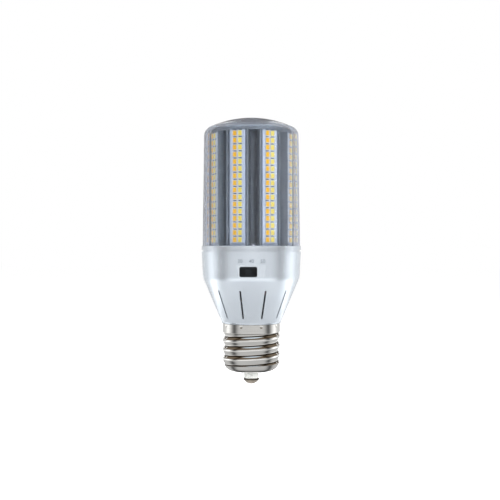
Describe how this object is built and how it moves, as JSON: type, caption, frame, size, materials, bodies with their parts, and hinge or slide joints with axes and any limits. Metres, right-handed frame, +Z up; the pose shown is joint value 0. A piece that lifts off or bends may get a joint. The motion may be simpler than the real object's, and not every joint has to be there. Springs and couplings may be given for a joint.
{
  "type": "led post top retrofit lamp",
  "caption": "Post top retrofit lamp with a mogul screw base, vented white housing, colour selector, lobed heat sink with light boards and a clear domed cover.",
  "frame": {"origin": "tip of the centre contact, on the lamp's axis", "axes": "+Z up the lamp's axis from the screw base to the dome, -Y towards the colour selector, +X to the right seen from the selector side"},
  "size_m": [0.068, 0.068, 0.1816],
  "materials": {
    "nickel_plated_brass": "bright nickel plate over drawn brass",
    "white_insulator": "moulded white insulator",
    "housing_white": "satin moulded polycarbonate",
    "switch_black": "moulded black",
    "knob_black": "moulded black with grip lines",
    "circuit_board": "glass-fibre board with green mask",
    "spacer_brass": "turned hexagonal spacers",
    "zinc_steel": "zinc plated steel",
    "ferrite": "sintered ferrite",
    "winding_tape": "polyester tape over copper winding",
    "capacitor_sleeve": "shrunk sleeve",
    "film_case": "boxed film capacitor",
    "disc_coating": "dipped coating",
    "chip_black": "moulded packages",
    "sink_aluminium": "extruded aluminium, clear anodised",
    "clear_cover": "clear moulded polycarbonate",
    "lead_white": "silicone insulated lead",
    "lead_red": "insulated lead",
    "lead_black": "insulated lead",
    "board_mask": "white mask on metal-core board",
    "warm_phosphor": "phosphor filled silicone, warm",
    "cool_phosphor": "phosphor filled silicone, cool"
  },
  "bodies": {
    "lamp_body": {"board_spacers": "spacer_brass", "bulk_capacitor_1": "capacitor_sleeve", "bulk_capacitor_2": "capacitor_sleeve", "centre_contact": "nickel_plated_brass", "centre_lead": "lead_white", "contact_insulator": "white_insulator", "cool_diodes_1": "cool_phosphor", "cool_diodes_2": "cool_phosphor", "cool_diodes_3": "cool_phosphor", "cool_diodes_4": "cool_phosphor", "cool_diodes_5": "cool_phosphor", "cool_diodes_6": "cool_phosphor", "cool_diodes_7": "cool_phosphor", "cool_diodes_8": "cool_phosphor", "cover_ring": "housing_white", "driver_board": "circuit_board", "driver_chips": "chip_black", "driver_housing": "housing_white", "film_capacitor": "film_case", "flange_plate": "sink_aluminium", "flange_screws": "zinc_steel", "heat_sink": "sink_aluminium", "input_choke": "ferrite", "led_board_1": "board_mask", "led_board_2": "board_mask", "led_board_3": "board_mask", "led_board_4": "board_mask", "led_board_5": "board_mask", "led_board_6": "board_mask", "led_board_7": "board_mask", "led_board_8": "board_mask", "lens_cover": "clear_cover", "output_lead_1": "lead_red", "output_lead_2": "lead_black", "screw_shell": "nickel_plated_brass", "shell_lead": "lead_white", "sink_screws": "zinc_steel", "spacer_screws": "zinc_steel", "surge_disc": "disc_coating", "switch_body": "switch_black", "top_plate": "sink_aluminium", "top_screws": "zinc_steel", "transformer_core": "ferrite", "transformer_winding": "winding_tape", "warm_diodes_1": "warm_phosphor", "warm_diodes_2": "warm_phosphor", "warm_diodes_3": "warm_phosphor", "warm_diodes_4": "warm_phosphor", "warm_diodes_5": "warm_phosphor", "warm_diodes_6": "warm_phosphor", "warm_diodes_7": "warm_phosphor", "warm_diodes_8": "warm_phosphor"},
    "selector_slide": {"selector_knob": "knob_black"}
  },
  "joints": [
    {"name": "selector_slide_joint", "type": "slide", "parent": "lamp_body", "child": "selector_slide", "axis": [1, 0, 0], "range_m": [-0.003, 0.003]}
  ]
}
